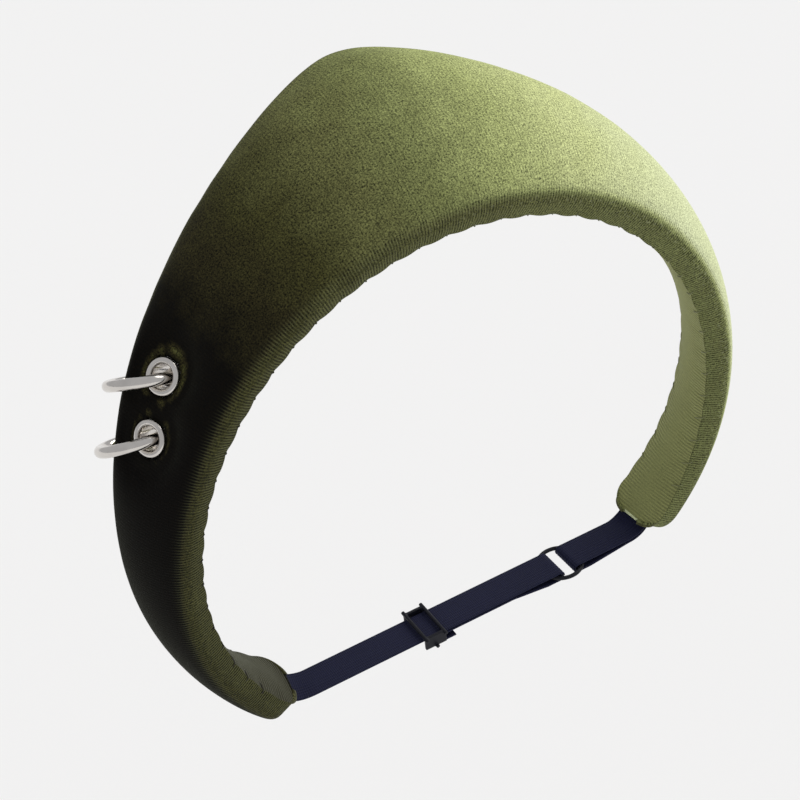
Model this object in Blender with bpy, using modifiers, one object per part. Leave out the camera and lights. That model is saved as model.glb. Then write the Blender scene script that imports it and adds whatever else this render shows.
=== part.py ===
"""Padded velvet headband with a peaked crown, two pierced rings and an adjustable elastic strap.

Run with: blender --background --python part.py

The band is worn over the head. +Z is up, +Y points to the back of the head and +X to the
wearer's left. The origin is the centre of the ellipse that the band's front edge follows.

A place on the band has three coordinates:
    along  -1 at the right tip, 0 at the crown, +1 at the left tip
    back   metres behind the front edge, across the band
    out    metres outward from the flat line between the two inner corners
"""
from math import cos, exp, pi, radians, sin, sqrt

import bmesh
import bpy
from mathutils import Matrix, Vector

# Front edge: part of an ellipse, wider than it is tall.
HALF_WIDTH = 0.0765
HALF_HEIGHT = 0.0755
TIP_ANGLE = radians(131.0)
EDGE_LENGTH = TIP_ANGLE * (HALF_WIDTH + HALF_HEIGHT) / 2

# Outline of the band across its width.
PEAK_WIDTH = 0.0590
TIP_WIDTH = 0.0188
PEAK_FALL = 2.4
PEAK_SOFTNESS = 0.039
TIP_ROUND = 0.0065

# Lean of the band: it flares out at the crown and turns in at the tips.
CROWN_FLARE = radians(24.0)
TIP_TURN = radians(34.0)
TURN_POWER = 5

# Thickness of the padded section.
EDGE_THICKNESS = 0.0072
OUTER_PUFF = 0.0080
INNER_PUFF = 0.0046
CORNER_ROUND = 0.0024
GAP = 0.0003
VELVET = 0.0010
LINING = 0.0008
BASE = 0.0012
BASE_MIDDLE = 0.0036
FOAM_MARGIN = 0.0026
FOAM_FROM_TIP = 0.0045
BASE_FROM_TIP = 0.013

# Eyelets and the rings through them, on the wearer's right side.
EYELETS = (("upper", -0.385), ("lower", -0.457))
EYELET_INSET = 0.0122
EYELET_RADIUS = 0.0047
EYELET_BORE = 0.0030
EYELET_WALL = 0.0004
CUT_DEPTH = 0.0120
WASHER_RADIUS = 0.0050
WASHER = 0.0005
PINCH_FLAT = 0.0060
PINCH_FADE = 0.0080
RING_RADIUS = 0.0089
RING_WIRE = 0.00145
RING_SHIFT = 0.0008
RING_HANG = radians(38.0)
RING_TILT = radians(8.0)

# Elastic strap behind the neck, with its slider and its round ring.
ELASTIC = 0.0007
ELASTIC_WIDTH = 0.0100
STRAP_BACK = 0.0085
STRAP_DROP = 0.0015
STRAP_IN_TIP = 0.0100
STRAP_OUT = 0.0019
BEND_LENGTH = 0.0070
LAYER = ELASTIC + GAP
SLIDER_X = -0.0145
SLIDER_BAR = 0.00055
SLIDER_REACH = 0.0029
SLIDER_RAIL = 0.0009
SLIDER_LIP = 0.0004
SLIDER_BAR_LENGTH = 0.0142
SLIDER_ROUNDING = 0.00025
STRAP_RING_X = 0.0310
STRAP_RING_RADIUS = 0.0064
STRAP_RING_WIRE = 0.0006
FOLD_RADIUS = STRAP_RING_WIRE + GAP + ELASTIC / 2
FOLD_TO_RING = 0.0031
RETURN_RISE = 0.0160
RETURN_TO_BAR = 0.0040
RETURN_END = 0.0070

# Sewing thread.
THREAD = 0.00025
STITCH = 0.0075
SEAM_REACH = 0.0026
TACK_FROM_TIP = 0.0060
TACK = (0.0012, 0.8 * ELASTIC_WIDTH, 0.0006)
TACK_ROUNDING = 0.0002

# How finely the band is drawn: lines along it, points across it and extra lines near its tips.
ROWS = 58
SPREAD = 9
NEAR_TIP = (0.0004, 0.0014, 0.0028, 0.0045)


def clear_scene():
    for item in list(bpy.data.objects):
        bpy.data.objects.remove(item)


def collection(name, hidden=False):
    made = bpy.data.collections.new(name)
    bpy.context.scene.collection.children.link(made)
    made.hide_render = hidden
    return made


def material(name, color, roughness, metallic=0.0):
    made = bpy.data.materials.new(name)
    made.use_nodes = True
    shader = made.node_tree.nodes["Principled BSDF"]
    shader.inputs["Base Color"].default_value = (*color, 1)
    shader.inputs["Roughness"].default_value = roughness
    shader.inputs["Metallic"].default_value = metallic
    return made


# The band's own coordinates.


def width_at(along):
    soft = min(1, sqrt(along**2 + PEAK_SOFTNESS**2))
    share = ((1 - soft) / (1 - PEAK_SOFTNESS)) ** PEAK_FALL
    return TIP_WIDTH + (PEAK_WIDTH - TIP_WIDTH) * share


def inset_at(along, margin=0.0):
    """How far an outline this far inside the band's own lies from the edge, with its tips rounded."""
    left = (1 - abs(along)) * EDGE_LENGTH - margin
    radius = TIP_ROUND - margin
    if left >= radius:
        return margin
    return margin + radius - sqrt(radius**2 - (radius - max(0.0, left)) ** 2)


def directions(along):
    """The section's front point and its three axes: along the band, back and out."""
    angle = along * TIP_ANGLE
    front = Vector((HALF_WIDTH * sin(angle), 0, HALF_HEIGHT * cos(angle)))
    forward = Vector((HALF_WIDTH * cos(angle), 0, -HALF_HEIGHT * sin(angle))).normalized()
    radial = Vector((HALF_HEIGHT * sin(angle), 0, HALF_WIDTH * cos(angle))).normalized()
    flare = CROWN_FLARE - TIP_TURN * abs(along) ** TURN_POWER
    rear = Vector((0, 1, 0))
    back = rear * cos(flare) + radial * sin(flare)
    out = radial * cos(flare) - rear * sin(flare)
    return front, forward, back, out


def place(along, back, out):
    front, _, back_axis, out_axis = directions(along)
    return front + back_axis * back + out_axis * out


def eyelet_place(along):
    return width_at(along) - EYELET_INSET


def pinch(along, back):
    """1 where an eyelet squeezes the padding flat, fading to 0 round it."""
    most = 0.0
    for _, centre in EYELETS:
        sideways = (along - centre) * EDGE_LENGTH
        distance = sqrt(sideways**2 + (back - eyelet_place(centre)) ** 2)
        beyond = max(0.0, distance - PINCH_FLAT)
        most = max(most, exp(-((beyond / PINCH_FADE) ** 2) * 3))
    return most


def puff(along, back):
    width = width_at(along)
    share = min(1, max(0, back / width))
    return 4 * share * (1 - share) * width / PEAK_WIDTH * (1 - pinch(along, back))


def inner_face(along, back):
    return -INNER_PUFF * puff(along, back)


def rounded(distance):
    """Drop of a rounded corner at this distance from the edge."""
    if distance >= CORNER_ROUND:
        return 0.0
    return CORNER_ROUND - sqrt(CORNER_ROUND**2 - (CORNER_ROUND - distance) ** 2)


def outer_face(along, back):
    inset = inset_at(along)
    to_side = min(back - inset, width_at(along) - inset - back)
    to_tip = (1 - abs(along)) * EDGE_LENGTH
    drop = min(CORNER_ROUND, rounded(max(0.0, to_side)) + rounded(to_tip))
    return EDGE_THICKNESS + OUTER_PUFF * puff(along, back) - drop


def rows(from_tip):
    """Places along the band, closer together where the tips round off."""
    last = 1 - from_tip / EDGE_LENGTH
    even = [-last + 2 * last * step / ROWS for step in range(ROWS + 1)]
    near_tip = [last - distance / EDGE_LENGTH for distance in NEAR_TIP]
    kept = [value for value in even if abs(value) < near_tip[-1] - 0.01]
    kept += [-last, last]
    return sorted(kept + near_tip + [-value for value in near_tip])


def across(along, margin):
    """Even places across the band, between two outlines inside its edges."""
    inset = inset_at(along, margin)
    width = width_at(along) - 2 * inset
    return [inset + width * step / (SPREAD - 1) for step in range(SPREAD)]


# Meshes.


def add_object(name, mesh, look, target):
    made = bpy.data.objects.new(name, mesh)
    made.data.materials.append(look)
    target.objects.link(made)
    return made


def finish_mesh(build, name, angle=radians(35)):
    bmesh.ops.remove_doubles(build, verts=build.verts, dist=0.00001)
    bmesh.ops.dissolve_degenerate(build, edges=build.edges, dist=0.00001)
    bmesh.ops.recalc_face_normals(build, faces=build.faces)
    mesh = bpy.data.meshes.new(name)
    build.to_mesh(mesh)
    build.free()
    mesh.shade_smooth()
    mesh.set_sharp_from_angle(angle=angle)
    return mesh


def grid_mesh(name, lines):
    """An open surface through lines of points, all of one length."""
    build = bmesh.new()
    points = [[build.verts.new(point) for point in line] for line in lines]
    for one, two in zip(points, points[1:]):
        for a, b, c, d in zip(one, one[1:], two[1:], two):
            build.faces.new((a, b, c, d))
    return finish_mesh(build, name)


def loft_mesh(name, loops):
    """A closed body through loops of points, with flat ends."""
    build = bmesh.new()
    rings = [[build.verts.new(point) for point in loop] for loop in loops]
    for one, two in zip(rings, rings[1:]):
        for a, b, c, d in zip(one, one[1:] + one[:1], two[1:] + two[:1], two):
            build.faces.new((a, b, c, d))
    half = len(rings[0]) // 2
    for ring in (rings[0], rings[-1]):
        for low in range(half - 1):
            build.faces.new((ring[low], ring[low + 1], ring[-low - 2], ring[-low - 1]))
    return finish_mesh(build, name)


def solidify(target, thickness, offset):
    change = target.modifiers.new("Thickness", "SOLIDIFY")
    change.thickness = thickness
    change.offset = offset
    change.use_even_offset = True


def cut(target, cutter):
    change = target.modifiers.new("Cut " + cutter.name, "BOOLEAN")
    change.operation = "DIFFERENCE"
    change.object = cutter


def as_cutter(target):
    target.display_type = "WIRE"
    target.hide_render = True
    return target


def turned(name, profile, look, target, steps=32):
    """A body turned about its own Z axis from a closed profile that runs up its outer side."""
    build = bmesh.new()
    points = [build.verts.new((radius, 0, height)) for radius, height in reversed(profile)]
    for one, two in zip(points, points[1:] + points[:1]):
        build.edges.new((one, two))
    mesh = bpy.data.meshes.new(name)
    build.to_mesh(mesh)
    build.free()
    made = add_object(name, mesh, look, target)
    screw = made.modifiers.new("Turn", "SCREW")
    screw.steps = steps
    screw.render_steps = steps
    screw.use_merge_vertices = True
    screw.merge_threshold = 0.00001
    return made


def torus(name, radius, wire, look, target, steps=36, sides=12):
    bpy.ops.mesh.primitive_torus_add(
        major_radius=radius, minor_radius=wire, major_segments=steps, minor_segments=sides
    )
    made = bpy.context.object
    made.name = name
    made.data.name = name
    made.data.materials.append(look)
    made.data.shade_smooth()
    for owner in list(made.users_collection):
        owner.objects.unlink(made)
    target.objects.link(made)
    return made


# The padded band.


def velvet_line(along, closing=False):
    """One line of the cover, from its front rim over the outer face to its back rim."""
    inset = inset_at(along)
    last = width_at(along) - inset
    corner = [CORNER_ROUND * (1 - cos(radians(angle))) for angle in (30, 60, 90)]
    flat = last - inset - 2 * CORNER_ROUND
    inside = [inset + CORNER_ROUND + flat * step / (SPREAD - 1) for step in range(1, SPREAD - 1)]
    backs = [inset] * 3 + [inset + step for step in corner] + inside
    backs += [last - step for step in reversed(corner)] + [last] * 3
    line = []
    for index, back in enumerate(backs):
        from_rim = min(index, len(backs) - 1 - index)
        height = outer_face(along, back)
        if from_rim < 2:
            height *= from_rim / 2
        line.append(place(along, back, 0.0 if closing else height))
    return line


def velvet_cover(look, target):
    stations = rows(0.0)
    lines = [velvet_line(along) for along in stations]
    lines = [velvet_line(-1, True)] + lines + [velvet_line(1, True)]
    made = add_object("velvet_cover", grid_mesh("velvet_cover", lines), look, target)
    solidify(made, VELVET, -1)
    return made


def lining(look, target):
    margin = VELVET + 2 * GAP
    lines = []
    for along in rows(margin):
        lines.append([place(along, back, inner_face(along, back)) for back in across(along, margin)])
    made = add_object("lining", grid_mesh("lining", lines), look, target)
    solidify(made, LINING, 1)
    return made


def base_band(look, target):
    lines = []
    for along in rows(BASE_FROM_TIP):
        lines.append([place(along, back, BASE_MIDDLE) for back in across(along, FOAM_MARGIN)])
    made = add_object("base_band", grid_mesh("base_band", lines), look, target)
    solidify(made, BASE, 0)
    return made


def foam(name, from_tip, lower, upper, look, target):
    """Padding between two heights, each a function of the place on the band."""
    loops = []
    for along in rows(from_tip):
        backs = across(along, FOAM_MARGIN)
        below = [place(along, back, lower(along, back)) for back in backs]
        above = [place(along, back, upper(along, back)) for back in reversed(backs)]
        loops.append(below + above)
    return add_object(name, loft_mesh(name, loops), look, target)


def under_velvet(along, back):
    return outer_face(along, back) - VELVET - 3 * GAP


def over_lining(along, back):
    return inner_face(along, back) + LINING + 2 * GAP


def seam_thread(name, at_back, look, target):
    """Whip stitches that join the cover's rim to the lining, as one thread."""
    count = int(2 * EDGE_LENGTH / STITCH)
    outline = bpy.data.curves.new(name, "CURVE")
    outline.dimensions = "3D"
    outline.bevel_depth = THREAD
    outline.bevel_resolution = 1
    outline.use_fill_caps = True
    spline = outline.splines.new("POLY")
    spline.points.add(2 * count)
    reach_tip = 1 - 2 * TIP_ROUND / EDGE_LENGTH
    for index, point in enumerate(spline.points):
        along = reach_tip * (index / count - 1)
        reach = SEAM_REACH if index % 2 else VELVET / 2
        back = width_at(along) - reach if at_back else reach
        lift = THREAD + GAP
        point.co = (*place(along, back, inner_face(along, back) - lift), 1)
    made = bpy.data.objects.new(name, outline)
    outline.materials.append(look)
    target.objects.link(made)
    return made


# Eyelets and rings.


def eyelet_frame(along):
    """Matrix whose origin is on the outer face at an eyelet, with Z out of the face."""
    _, _, back, out = directions(along)
    origin = place(along, eyelet_place(along), EDGE_THICKNESS)
    turn = Matrix((back, out.cross(back), out)).transposed()
    return Matrix.Translation(origin) @ turn.to_4x4()


def eyelet(name, along, look, target):
    top = GAP
    under = -EDGE_THICKNESS - GAP - WASHER - GAP
    outside = EYELET_BORE + EYELET_WALL
    profile = [
        (EYELET_BORE, top + 0.0004),
        (EYELET_BORE, under - 0.0005),
        (outside, under - 0.0008),
        (outside + 0.0006, under - 0.0007),
        (outside + 0.0009, under - 0.0004),
        (outside + 0.0009, under),
        (outside, under),
        (outside, top),
        (EYELET_RADIUS, top),
        (EYELET_RADIUS - 0.0001, top + 0.0003),
        (EYELET_RADIUS - 0.0005, top + 0.0007),
        (EYELET_RADIUS - 0.0010, top + 0.0008),
        (EYELET_BORE + 0.0002, top + 0.0007),
    ]
    made = turned(name, profile, look, target)
    made.matrix_world = eyelet_frame(along)
    return made


def washer(name, along, look, target):
    inside = EYELET_BORE + EYELET_WALL + GAP
    high = -EDGE_THICKNESS - GAP
    low = high - WASHER
    profile = [(inside, high), (inside, low), (WASHER_RADIUS, low), (WASHER_RADIUS, high)]
    made = turned(name, profile, look, target)
    made.matrix_world = eyelet_frame(along)
    return made


def hole_cutter(name, along, look, target):
    """Hole for the barrel, with seats that keep the cloth off the flange and the washer."""
    barrel = EYELET_BORE + EYELET_WALL + GAP
    flange = EYELET_RADIUS + GAP
    disc = WASHER_RADIUS + GAP
    inner = -EDGE_THICKNESS
    profile = [
        (0.0, CUT_DEPTH),
        (0.0, inner - CUT_DEPTH),
        (disc, inner - CUT_DEPTH),
        (disc, inner),
        (barrel, inner),
        (barrel, 0.0),
        (flange, 0.0),
        (flange, CUT_DEPTH),
    ]
    made = turned(name, profile, look, target)
    made.matrix_world = eyelet_frame(along)
    return as_cutter(made)


def pierced_ring(name, along, look, target):
    """A ring that runs through its eyelet and round the back edge, with its origin on the eyelet's axis."""
    ring = torus(name, RING_RADIUS, RING_WIRE, look, target)
    middle = -(EDGE_THICKNESS + WASHER + GAP) / 2
    stand = Matrix.Rotation(pi / 2, 4, "X")
    shift = Matrix.Translation((RING_RADIUS - RING_SHIFT, 0, 0))
    ring.data.transform(shift @ stand)
    towards_tip = RING_HANG if out_turns_to_tip(along) else -RING_HANG
    swing = Matrix.Rotation(towards_tip, 4, "Z")
    lean = Matrix.Rotation(-RING_TILT, 4, "X")
    ring.matrix_world = eyelet_frame(along) @ Matrix.Translation((0, 0, middle)) @ swing @ lean
    return ring


def out_turns_to_tip(along):
    """Whether turning about the outward axis moves the back direction to this side's tip."""
    _, forward, back, out = directions(along)
    to_tip = forward if along > 0 else -forward
    return out.cross(back).dot(to_tip) > 0


# The strap.


def ribbon_mesh(name, stations):
    lines = []
    for centre, side in stations:
        lines.append([centre - side * ELASTIC_WIDTH / 2, centre + side * ELASTIC_WIDTH / 2])
    return grid_mesh(name, lines)


def ribbon(name, stations, look, target):
    made = add_object(name, ribbon_mesh(name, stations), look, target)
    solidify(made, ELASTIC, 0)
    return made


def strap_height():
    """Height of the strap's straight run, a little below where it leaves the tips."""
    leaves = place(1, width_at(1) / 2, STRAP_OUT)
    return leaves.z - STRAP_DROP


def tip_run(hand, layers_out):
    """Stations from inside a tip to the straight run. layers_out moves a run under the first one."""
    run = []
    middle = width_at(1) / 2
    out_by = STRAP_OUT + layers_out * LAYER
    for step in range(4):
        along = hand * (1 - STRAP_IN_TIP / EDGE_LENGTH * (1 - step / 3))
        _, _, back, _ = directions(along)
        run.append((place(along, middle, out_by), back))
    leaves, side = run[-1]
    _, forward, _, _ = directions(hand)
    leaving = forward * hand
    inward = Vector((-hand, 0, 0))
    end = Vector((leaves.x - hand * BEND_LENGTH, STRAP_BACK, strap_height() - layers_out * LAYER))
    reach = (end - leaves).length
    for step in range(1, 7):
        share = step / 6
        blend = share * share * (3 - 2 * share)
        point = hermite(leaves, leaving * reach, end, inward * reach, share)
        run.append((point, side.lerp(Vector((0, 1, 0)), blend).normalized()))
    return run


def hermite(start, start_pull, end, end_pull, share):
    a = 2 * share**3 - 3 * share**2 + 1
    b = share**3 - 2 * share**2 + share
    c = -2 * share**3 + 3 * share**2
    d = share**3 - share**2
    return start * a + start_pull * b + end * c + end_pull * d


def flat_point(x, below):
    return Vector((x, STRAP_BACK, strap_height() - below)), Vector((0, 1, 0))


def fold(x, hand):
    """Half turn of a strap round the ring's wire, seen along Y, from the top layer downward."""
    turn = []
    for step in range(9):
        angle = radians(90 - 180 * step / 8)
        turn.append(flat_point(x + hand * FOLD_RADIUS * cos(angle), FOLD_RADIUS * (1 - sin(angle))))
    return turn


def under_ring(hand):
    """Station where a lower layer clears the ring's far side and can rise to the layer above."""
    clear = STRAP_RING_RADIUS + STRAP_RING_WIRE + GAP
    return flat_point(STRAP_RING_X + hand * clear, 2 * FOLD_RADIUS)


def strap_main(look, target):
    """The long run: sewn into the right tip, through the slider and into the ring."""
    fold_x = STRAP_RING_X - FOLD_TO_RING
    stations = tip_run(-1, 0) + fold(fold_x, 1)[:5]
    return ribbon("strap_main", stations, look, target)


def strap_return(look, target):
    """The end that comes back from the ring and is sewn round the slider's middle bar."""
    fold_x = STRAP_RING_X - FOLD_TO_RING
    radius = SLIDER_BAR + GAP + ELASTIC / 2
    bar_below = LAYER + radius
    stations = fold(fold_x, 1)[5:]
    stations.append(under_ring(-1))
    stations.append(flat_point(fold_x - RETURN_RISE, LAYER))
    stations.append(flat_point(SLIDER_X + RETURN_TO_BAR, LAYER))
    for step in range(9):
        angle = radians(90 + 180 * step / 8)
        x = SLIDER_X + radius * cos(angle)
        stations.append(flat_point(x, bar_below - radius * sin(angle)))
    stations.append(flat_point(SLIDER_X + RETURN_END, bar_below + radius))
    return ribbon("strap_return", stations, look, target)


def strap_loop(look, target):
    """The short loop that holds the ring, with both ends sewn into the left tip."""
    fold_x = STRAP_RING_X + FOLD_TO_RING
    top = tip_run(1, 0)
    under = tip_run(1, 1)
    stations = top + fold(fold_x, -1) + [under_ring(1)] + list(reversed(under))
    return ribbon("strap_loop", stations, look, target)


def rounded_box(name, size, look, target, rounding):
    bpy.ops.mesh.primitive_cube_add(size=1)
    made = bpy.context.object
    made.name = name
    made.data.name = name
    made.data.transform(Matrix.Diagonal((*size, 1)))
    made.data.materials.append(look)
    for owner in list(made.users_collection):
        owner.objects.unlink(made)
    target.objects.link(made)
    bevel = made.modifiers.new("Rounding", "BEVEL")
    bevel.width = rounding
    bevel.segments = 2
    return made


def bar(name, look, target):
    bpy.ops.mesh.primitive_cylinder_add(radius=SLIDER_BAR, depth=SLIDER_BAR_LENGTH, vertices=12)
    made = bpy.context.object
    made.name = name
    made.data.transform(Matrix.Rotation(pi / 2, 4, "X"))
    for owner in list(made.users_collection):
        owner.objects.unlink(made)
    target.objects.link(made)
    return as_cutter(made)


def slider(look, target, helpers):
    """Two side plates joined by three bars: two over the strap and one under it."""
    middle = Vector((SLIDER_X, STRAP_BACK, strap_height()))
    bar_above = ELASTIC / 2 + GAP + SLIDER_BAR
    bar_below = LAYER + SLIDER_BAR + GAP + ELASTIC / 2
    plate = (2 * (SLIDER_REACH + SLIDER_LIP), SLIDER_RAIL, bar_above + bar_below + 2 * SLIDER_LIP)
    plate_y = ELASTIC_WIDTH / 2 + GAP + SLIDER_RAIL / 2
    made = rounded_box("slider", plate, look, target, SLIDER_ROUNDING)
    made.location = middle + Vector((0, plate_y, (bar_above - bar_below) / 2))
    other = as_cutter(rounded_box("slider_plate", plate, look, helpers, SLIDER_ROUNDING))
    other.location = middle + Vector((0, -plate_y, (bar_above - bar_below) / 2))
    pieces = [other]
    for index, (x, z) in enumerate(((-SLIDER_REACH, bar_above), (SLIDER_REACH, bar_above), (0, -bar_below))):
        piece = bar("slider_bar_%d" % index, look, helpers)
        piece.location = middle + Vector((x, 0, z))
        pieces.append(piece)
    for piece in reversed(pieces):
        join = made.modifiers.new("Join " + piece.name, "BOOLEAN")
        join.operation = "UNION"
        join.object = piece
    return made


def strap_ring(look, target):
    made = torus("strap_ring", STRAP_RING_RADIUS, STRAP_RING_WIRE, look, target, 36, 10)
    made.location = (STRAP_RING_X, STRAP_BACK, strap_height() - FOLD_RADIUS)
    return made


def strap_slot(name, hand, layers, look, target):
    """Cutter that opens the cover's end where the strap comes out."""
    stations = []
    for centre, side in tip_run(hand, (layers - 1) / 2)[:6]:
        grown = side * (1 + 2 * GAP / ELASTIC_WIDTH)
        stations.append((centre, grown))
    made = add_object(name, ribbon_mesh(name, stations), look, target)
    solidify(made, layers * LAYER + 2 * GAP, 0)
    return as_cutter(made)


def strap_tack(name, hand, layers, look, target):
    """Bar of stitches that holds the strap's end inside a tip."""
    made = rounded_box(name, TACK, look, target, TACK_ROUNDING)
    along = hand * (1 - TACK_FROM_TIP / EDGE_LENGTH)
    _, forward, back, _ = directions(along)
    above = STRAP_OUT + (layers - 1) * LAYER + ELASTIC / 2 + GAP + TACK[2] / 2
    origin = place(along, width_at(1) / 2, above)
    turn = Matrix((forward, back, forward.cross(back))).transposed()
    made.matrix_world = Matrix.Translation(origin) @ turn.to_4x4()
    return made


def build():
    clear_scene()
    parts = collection("headband")
    helpers = collection("cutters", hidden=True)
    velvet = material("velvet", (0.10, 0.13, 0.035), 0.85)
    satin = material("lining_cloth", (0.15, 0.16, 0.06), 0.75)
    foam_look = material("foam", (0.75, 0.72, 0.62), 0.95)
    plastic = material("base_plastic", (0.80, 0.80, 0.78), 0.5)
    steel = material("polished_steel", (0.80, 0.80, 0.80), 0.12, 1.0)
    elastic = material("elastic", (0.012, 0.012, 0.028), 0.75)
    black = material("black_plastic", (0.012, 0.012, 0.018), 0.35)
    thread = material("thread", (0.35, 0.38, 0.18), 0.8)

    cover = velvet_cover(velvet, parts)
    inside = lining(satin, parts)
    base = base_band(plastic, parts)
    over_base = BASE_MIDDLE + BASE / 2 + GAP
    under_base = BASE_MIDDLE - BASE / 2 - GAP
    outer_foam = foam(
        "outer_foam", FOAM_FROM_TIP, lambda along, back: over_base, under_velvet, foam_look, parts
    )
    inner_foam = foam(
        "inner_foam", BASE_FROM_TIP, over_lining, lambda along, back: under_base, foam_look, parts
    )
    seam_thread("seam_thread_front", False, thread, parts)
    seam_thread("seam_thread_back", True, thread, parts)

    for name, along in EYELETS:
        hole = hole_cutter("hole_" + name, along, steel, helpers)
        for layer in (cover, inside, base, outer_foam, inner_foam):
            cut(layer, hole)
        eyelet("eyelet_" + name, along, steel, parts)
        washer("washer_" + name, along, steel, parts)
        pierced_ring("ring_" + name, along, steel, parts)

    strap_main(elastic, parts)
    strap_return(elastic, parts)
    strap_loop(elastic, parts)
    for name, hand, layers in (("right", -1, 1), ("left", 1, 2)):
        cut(cover, strap_slot("slot_" + name, hand, layers, elastic, helpers))
        strap_tack("strap_tack_" + name, hand, layers, thread, parts)
    slider(black, parts, helpers)
    strap_ring(black, parts)


build()
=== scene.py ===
# %% [markdown]
# # A padded velvet headband with two pierced rings
#
# The headband is a wide velvet pad that narrows to two tips, with a piped looking fold at its
# edges, two metal eyelets with rings through them and an elastic strap behind the neck.
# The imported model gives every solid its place. This script dresses it: soft pieces are made
# again as cloth, hard pieces get finer shapes, and every piece gets a material built from nodes.

from math import ceil, cos, pi, radians, sin

import bmesh
import bpy
import numpy as np
from mathutils import Matrix, Vector
from mathutils.bvhtree import BVHTree


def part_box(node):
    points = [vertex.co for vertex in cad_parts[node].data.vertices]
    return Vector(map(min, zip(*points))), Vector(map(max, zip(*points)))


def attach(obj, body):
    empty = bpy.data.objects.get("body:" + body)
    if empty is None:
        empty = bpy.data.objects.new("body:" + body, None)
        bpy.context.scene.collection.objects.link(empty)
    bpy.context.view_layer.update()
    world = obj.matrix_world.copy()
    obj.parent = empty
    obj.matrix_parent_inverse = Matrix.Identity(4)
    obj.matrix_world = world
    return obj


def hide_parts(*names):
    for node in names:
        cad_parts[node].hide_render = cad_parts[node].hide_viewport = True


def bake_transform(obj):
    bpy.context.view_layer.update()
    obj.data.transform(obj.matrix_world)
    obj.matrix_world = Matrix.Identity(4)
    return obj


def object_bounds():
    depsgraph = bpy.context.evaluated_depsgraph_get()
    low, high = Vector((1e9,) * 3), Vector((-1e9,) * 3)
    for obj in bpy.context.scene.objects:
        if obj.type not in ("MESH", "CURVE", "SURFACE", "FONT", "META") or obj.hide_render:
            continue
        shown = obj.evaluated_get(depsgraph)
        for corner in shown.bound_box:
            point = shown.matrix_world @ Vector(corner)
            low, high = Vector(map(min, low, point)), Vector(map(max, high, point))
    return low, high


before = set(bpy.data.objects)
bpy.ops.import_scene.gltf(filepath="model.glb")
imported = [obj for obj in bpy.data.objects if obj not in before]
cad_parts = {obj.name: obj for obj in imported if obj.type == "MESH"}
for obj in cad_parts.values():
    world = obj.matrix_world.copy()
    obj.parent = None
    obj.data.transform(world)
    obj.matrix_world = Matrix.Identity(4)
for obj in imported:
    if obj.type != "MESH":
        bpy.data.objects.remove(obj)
cad_low, cad_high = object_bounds()
bpy.context.scene.view_settings.view_transform = "Standard"
print("packed box", [round(value, 4) for value in (*cad_low, *cad_high)])

# %% [markdown]
# ## The camera
#
# The headband is seen from the wearer's front right and above, with the strap below.
# A long lens close to 80 mm keeps the near tip from looking too large. The camera is set by
# the direction it looks from, its roll and its distance, so each can be changed alone.

# %% Camera
LOOKED_AT = Vector((-0.0170, 0.0015, 0.0341))
CAMERA_TURN = radians(-26.1)
CAMERA_HEIGHT = radians(37.3)
CAMERA_ROLL = radians(-7.0)
CAMERA_DISTANCE = 0.435
LENS = 79.5


def place_camera():
    level = cos(CAMERA_HEIGHT)
    back = Vector((sin(CAMERA_TURN) * level, -cos(CAMERA_TURN) * level, sin(CAMERA_HEIGHT)))
    right = Vector((cos(CAMERA_TURN), sin(CAMERA_TURN), 0))
    up = back.cross(right)
    across = right * cos(CAMERA_ROLL) + up * sin(CAMERA_ROLL)
    above = up * cos(CAMERA_ROLL) - right * sin(CAMERA_ROLL)
    camera = bpy.data.objects.new("camera", bpy.data.cameras.new("camera"))
    camera.data.lens = LENS
    camera.data.clip_start = 0.01
    turn = Matrix((across, above, back)).transposed().to_4x4()
    camera.matrix_world = Matrix.Translation(LOOKED_AT + back * CAMERA_DISTANCE) @ turn
    bpy.context.scene.collection.objects.link(camera)
    bpy.context.scene.camera = camera
    return camera


camera = place_camera()
print("camera at", [round(value, 3) for value in camera.location])

# %% [markdown]
# ## The room
#
# Velvet shows its shape by how it catches the light, so the key light is one broad soft sun
# from the wearer's left. The wearer's right side is dark mostly because shade is painted into
# the velvet's colour by the nap set further down, and only a little because of the light. A
# pale floor and a pale sky fill in the rest. The floor lies well below, because the headband is
# held up.

# %% Floor and lights
FLOOR_BELOW = 0.30
FLOOR_SIZE = 14
KEY_FROM = Vector((0.80, 0.10, 0.62))
KEY_STRENGTH = 2.3
KEY_SPREAD = radians(50)
KEY_COLOR = (1.0, 0.98, 0.94)
SKY = (0.96, 0.97, 1.0)
SKY_STRENGTH = 0.54
FLOOR_COLOR = (0.93, 0.93, 0.93)


def key_light():
    light = bpy.data.lights.new("key", "SUN")
    light.energy = KEY_STRENGTH
    light.angle = KEY_SPREAD
    light.color = KEY_COLOR
    made = bpy.data.objects.new("key", light)
    made.rotation_mode = "QUATERNION"
    made.rotation_quaternion = KEY_FROM.to_track_quat("Z", "Y")
    bpy.context.scene.collection.objects.link(made)


def sky():
    world = bpy.data.worlds.new("studio")
    world.use_nodes = True
    paint = world.node_tree.nodes["Background"]
    paint.inputs["Color"].default_value = (*SKY, 1)
    paint.inputs["Strength"].default_value = SKY_STRENGTH
    bpy.context.scene.world = world


def floor():
    bpy.ops.mesh.primitive_plane_add(size=FLOOR_SIZE, location=(0, 0, cad_low.z - FLOOR_BELOW))
    made = bpy.context.object
    made.name = "floor"
    return made


sky()
key_light()
ground = floor()
print("floor at", round(ground.location.z, 3))

# %% [markdown]
# ## Writing shaders as sums
#
# A material's pattern is easier to read as a sum than as boxes and lines. `Wire` wraps one
# socket, and adding or multiplying wires adds the Math nodes. `Look` holds one material and
# makes every other node with a single method: its type, its settings, then its inputs.


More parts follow.
